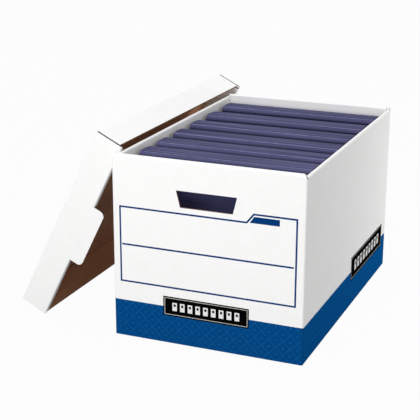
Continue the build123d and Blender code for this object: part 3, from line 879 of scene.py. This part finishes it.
# %% One rail
def draw_rail(metal, line, side):
    """Extrudes the strip's section along the binder and breaks its long edges."""
    across = Vector((0.0, math.cos(side * rail_turn), math.sin(side * rail_turn)))
    through = Vector((0.0, -across.z, across.y))
    start = Vector((-rail_half_length * MM, 0.0, 0.0))
    corners = []
    for reach, level in ((0, -0.5), (1, -0.5), (1, 0.5), (0, 0.5)):
        offset = across * rail_reach[reach] * MM + through * level * rail_thickness * MM
        corners.append(metal.verts.new(line + start + offset))
    strip = bmesh.ops.extrude_face_region(metal, geom=[metal.faces.new(corners)])["geom"]
    bmesh.ops.translate(metal, verts=only(bmesh.types.BMVert, strip),
                        vec=Vector((2 * rail_half_length * MM, 0.0, 0.0)))
    far = only(bmesh.types.BMVert, strip)
    long_edges = [edge for vertex in far for edge in vertex.link_edges
                  if edge.other_vert(vertex) not in far]
    break_edges(metal, long_edges)


print("rails", 2 * rail_half_length, "mm long,", rail_thickness, "mm thick")


# %% The same mesh on every run
def steady_mesh(name, metal):
    """A mesh with its corners and faces in order of place, since operators give them in any order.

    A face with four corners is cut from its first to its third, so it starts from the lower of those
    two and stays cut the same way. A round tip starts from its lowest corner."""
    corners = sorted(metal.verts, key=lambda vertex: vertex.co.to_tuple())
    numbers = {vertex: number for number, vertex in enumerate(corners)}
    faces = []
    for face in metal.faces:
        loop = [numbers[vertex] for vertex in face.verts]
        first = loop.index(min(loop[::2] if len(loop) == 4 else loop))
        faces.append(loop[first:] + loop[:first])
    mesh = bpy.data.meshes.new(name)
    mesh.from_pydata([vertex.co for vertex in corners], [], sorted(faces))
    return mesh


print("corners in order of X, then Y, then Z")


# %% Ring metal of each binder
def ring_metal(number, half):
    """A rail with its three half rings, in place of the solid's six-sided ones."""
    low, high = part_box(f"binder_{number}_cover")
    line = Vector((0.0, low.y + turning_line[0] * MM, turning_line[1] * MM))
    metal = bmesh.new()
    draw_rail(metal, line, 1 if half == "upper" else -1)
    for x in ring_places:
        draw_wire(metal, [line + Vector((x, depth, height)) * MM for depth, height in ring_bends[half]])
    bmesh.ops.recalc_face_normals(metal, faces=metal.faces)
    mesh = steady_mesh(f"binder_{number}_{half}_ring_wire", metal)
    metal.free()
    mesh.shade_smooth()
    mesh.set_sharp_from_angle(angle=sharp_angle)
    mesh.materials.append(nickel)
    piece = bpy.data.objects.new(mesh.name, mesh)
    bpy.context.scene.collection.objects.link(piece)
    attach(piece, f"binder_{number}_{half}_rings")
    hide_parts(f"binder_{number}_{half}_rings")
    return piece


for number in binder_numbers:
    for half in ring_bends:
        piece = ring_metal(number, half)
print("ring wires", piece.name, len(piece.data.polygons), "faces")

# %% [markdown]
# ## Floor and background
#
# The object stands on a pale floor before a white background. For the camera, and for what metal
# and gloss reflect, most of the floor's brightness is its own, so it stays white without more
# light on the object. The rest is lit paper, which keeps a soft shadow where the object stands.


# %% What is seen of the studio
def seen_rays(tree):
    """1 for rays from the camera and those that metal, gloss or glass send on, 0 for the rest."""
    ray = add_node(tree, "LightPath").outputs
    seen = add_node(tree, "Math", {0: ray["Is Camera Ray"], 1: ray["Is Glossy Ray"]}, operation="MAXIMUM")
    return add_node(tree, "Math", {0: seen, 1: ray["Is Transmission Ray"]}, operation="MAXIMUM")


white = linear("#FFFFFF")
print("white", white[:3])

# %% Floor
floor_own_white = 0.97
floor_size = 12.0
floor_tones = ("#929291", "#9A9A99")


def pale_floor(name):
    """Matt white paper: most of what shows of it is plain white, and the rest takes the shadow."""
    material = bpy.data.materials.new(name)
    material.use_nodes = True
    tree = material.node_tree
    tree.nodes.clear()
    share = add_node(tree, "Math", {0: seen_rays(tree), 1: floor_own_white}, operation="MULTIPLY")
    place = object_place(tree)[0]
    grain = add_node(tree, "TexNoise", {"Vector": place, "Scale": 0.2, "Detail": 3.0})
    paper = add_node(tree, "Mix", {0: grain, 6: linear(floor_tones[0]), 7: linear(floor_tones[1])},
                     data_type="RGBA")
    lit = add_node(tree, "BsdfDiffuse", {"Color": paper})
    own_light = add_node(tree, "Emission", {"Color": white, "Strength": 1.0})
    floor_look = add_node(tree, "MixShader", {0: share, 1: lit, 2: own_light})
    add_node(tree, "OutputMaterial", {"Surface": floor_look})
    return material


floor_mesh = bpy.data.meshes.new("floor")
floor_bmesh = bmesh.new()
bmesh.ops.create_grid(floor_bmesh, x_segments=1, y_segments=1, size=floor_size)
floor_bmesh.to_mesh(floor_mesh)
floor_bmesh.free()
floor = bpy.data.objects.new("floor", floor_mesh)
bpy.context.scene.collection.objects.link(floor)
floor_mesh.materials.append(pale_floor("white_paper_floor"))
print("floor", len(floor_mesh.polygons), "face,", 2 * floor_size, "m across")

# %% Background
room_light = 0.65
world = bpy.data.worlds.new("studio")
bpy.context.scene.world = world
world.use_nodes = True
sky = world.node_tree
sky.nodes.clear()
room = add_node(sky, "Background", {"Color": white, "Strength": room_light})
backdrop = add_node(sky, "Background", {"Color": white, "Strength": 1.0})
both = add_node(sky, "MixShader", {0: seen_rays(sky), 1: room, 2: backdrop})
add_node(sky, "OutputWorld", {"Surface": both})
print("room light", room_light)

# %% [markdown]
# ## Light
#
# A soft box stands in front, to the left and above, so the front wall and the lid are bright and
# the right wall falls a step darker, which shows the box's shape. A weak one near the camera
# looks into the lid and the hand hole. One overhead lights the flap on top of the lid and the
# spines, and a small low one on the right, towards the back, lifts the far end of the right wall.
# An area lamp gives a white surface square to it its own brightness when its power is pi squared
# times its distance squared.


# %% Lamps
def soft_box(name, place, aim, size, share):
    """A square area lamp that lights a surface at the aim to a share of full white."""
    lamp = bpy.data.lights.new(name, "AREA")
    lamp.shape = "SQUARE"
    lamp.size = size
    distance = (Vector(aim) - Vector(place)).length
    lamp.energy = share * math.pi ** 2 * distance ** 2
    holder = bpy.data.objects.new(name, lamp)
    holder.location = place
    holder.rotation_euler = (Vector(aim) - Vector(place)).to_track_quat("-Z", "Y").to_euler()
    holder.visible_camera = False
    bpy.context.scene.collection.objects.link(holder)
    return holder


front_of_box = (-0.05, -0.25, 0.15)
lamps = [
    soft_box("key_light", (-0.45, -1.75, 0.95), front_of_box, 1.0, 0.49),
    soft_box("front_light", (0.5, -1.88, 0.42), front_of_box, 0.3, 0.17),
    soft_box("top_light", (0.2, 0.2, 2.4), (-0.05, 0.0, 0.3), 1.4, 0.37),
    soft_box("fill_light", (0.75, 0.7, 0.12), (0.165, 0.2, 0.15), 0.3, 0.46),
]
for lamp in lamps:
    print(lamp.name, round(lamp.data.energy, 2), "W")

# %% [markdown]
# ## Camera
#
# The camera stands in front on the right and looks down a little, about two metres away with a
# lens of nearly 100 mm, so the edges of the box run together only slightly.

# %% Camera
camera_turn = math.radians(22.4642)
camera_height = math.radians(17.6272)
camera_roll = math.radians(0.1612)
camera_distance = 2096.89 * MM
camera_aim = Vector((-99.0791, 0.0, 151.3641)) * MM
lens = bpy.data.cameras.new("camera")
lens.lens = 98.636
lens.sensor_width = 36.0
lens.clip_start = 0.05
lens.clip_end = 60.0
camera = bpy.data.objects.new("camera", lens)
back = Vector((math.sin(camera_turn) * math.cos(camera_height),
               -math.cos(camera_turn) * math.cos(camera_height), math.sin(camera_height)))
stand = Euler((math.pi / 2 - camera_height, 0.0, camera_turn)).to_matrix()
stand = stand @ Matrix.Rotation(camera_roll, 3, "Z")
camera.matrix_world = Matrix.Translation(camera_aim + back * camera_distance) @ stand.to_4x4()
bpy.context.scene.collection.objects.link(camera)
bpy.context.scene.camera = camera
bpy.context.scene.view_settings.view_transform = "Standard"
print("camera at", [round(v, 3) for v in camera.matrix_world.translation])
